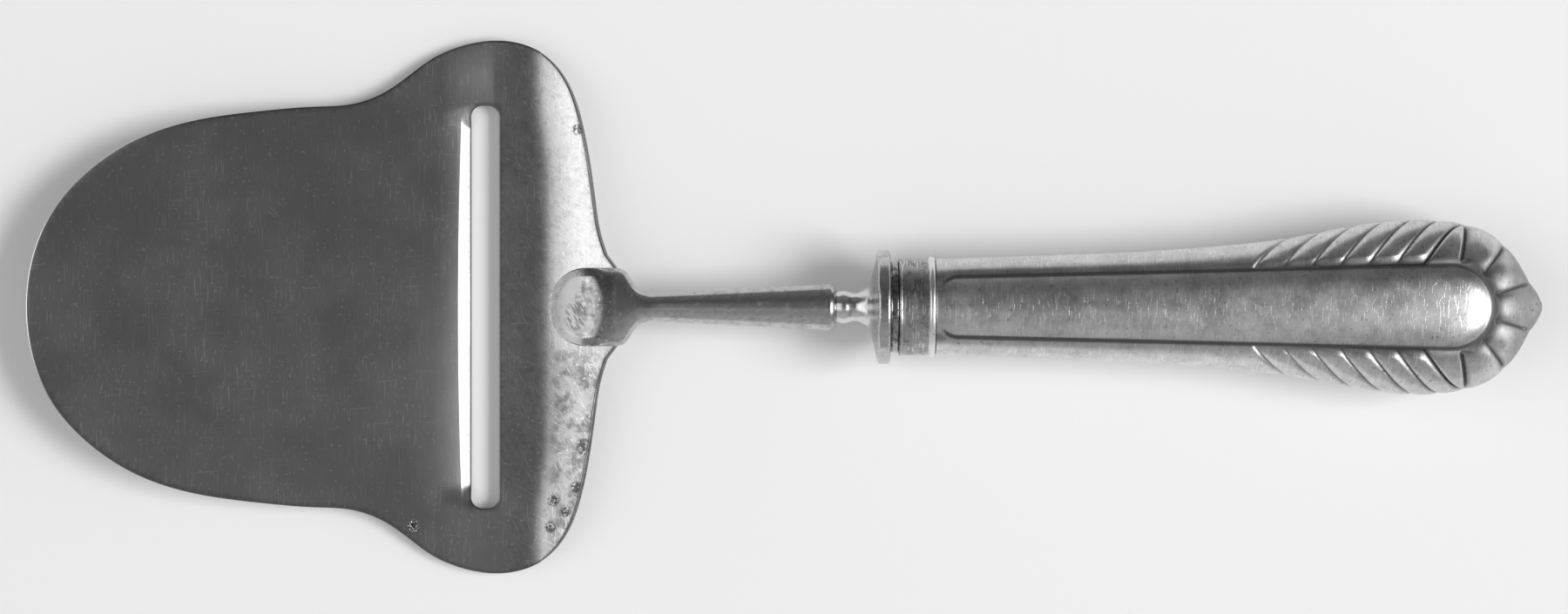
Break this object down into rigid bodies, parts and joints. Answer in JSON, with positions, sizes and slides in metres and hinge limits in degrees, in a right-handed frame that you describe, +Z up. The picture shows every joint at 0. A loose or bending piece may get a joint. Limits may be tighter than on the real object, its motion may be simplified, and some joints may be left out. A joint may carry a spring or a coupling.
{
  "type": "cheese slicer",
  "caption": "Hand cheese slicer: bell-shaped steel blade with a cutting slot, tapered steel shank, turned bolster and hollow silver handle with a raised panel and lobed butt.",
  "frame": {"origin": "under the middle of the slicer's length, on the surface that it lies on", "axes": "+X from the blade's tip to the butt of the handle, +Y across to the blade's left lobe, +Z up, away from the surface"},
  "size_m": [0.222, 0.0788, 0.017],
  "materials": {
    "blade_steel": "worn satin stainless steel with fine scratches across the blade",
    "shank_steel": "polished steel with light stains",
    "handle_silver": "worn silver, soft polish with dark recesses",
    "filler_cement": "dull dark cement"
  },
  "bodies": {
    "root": {"blade_plate": "blade_steel", "shank": "shank_steel", "bolster": "shank_steel", "ferrule": "handle_silver", "ferrule_rim": "handle_silver", "handle_shell_top": "handle_silver", "handle_shell_bottom": "handle_silver", "filler_core": "filler_cement"}
  },
  "joints": []
}
